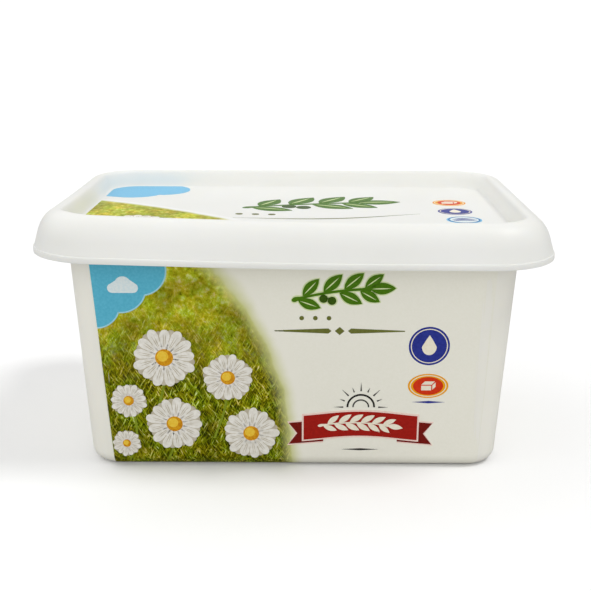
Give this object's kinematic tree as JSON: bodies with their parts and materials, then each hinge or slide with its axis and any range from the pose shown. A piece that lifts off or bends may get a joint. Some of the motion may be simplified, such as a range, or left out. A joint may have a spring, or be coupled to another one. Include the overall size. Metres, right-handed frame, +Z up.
{
  "type": "feta tub",
  "caption": "Shut rectangular plastic tub of brined white cheese with a press-on lid, tapered walls and a sunken lid panel.",
  "frame": {"origin": "middle of the tub's base, on the surface it stands on", "axes": "+X along the tub's length, +Y from the printed front to the back, +Z up"},
  "size_m": [0.192, 0.136, 0.1002],
  "materials": {
    "tub_plastic": "moulded off-white polypropylene with a printed film moulded into the front, soft gloss",
    "lid_plastic": "moulded white polypropylene, satin"
  },
  "bodies": {
    "root": {"tub": "tub_plastic", "lid": "lid_plastic"}
  },
  "joints": []
}
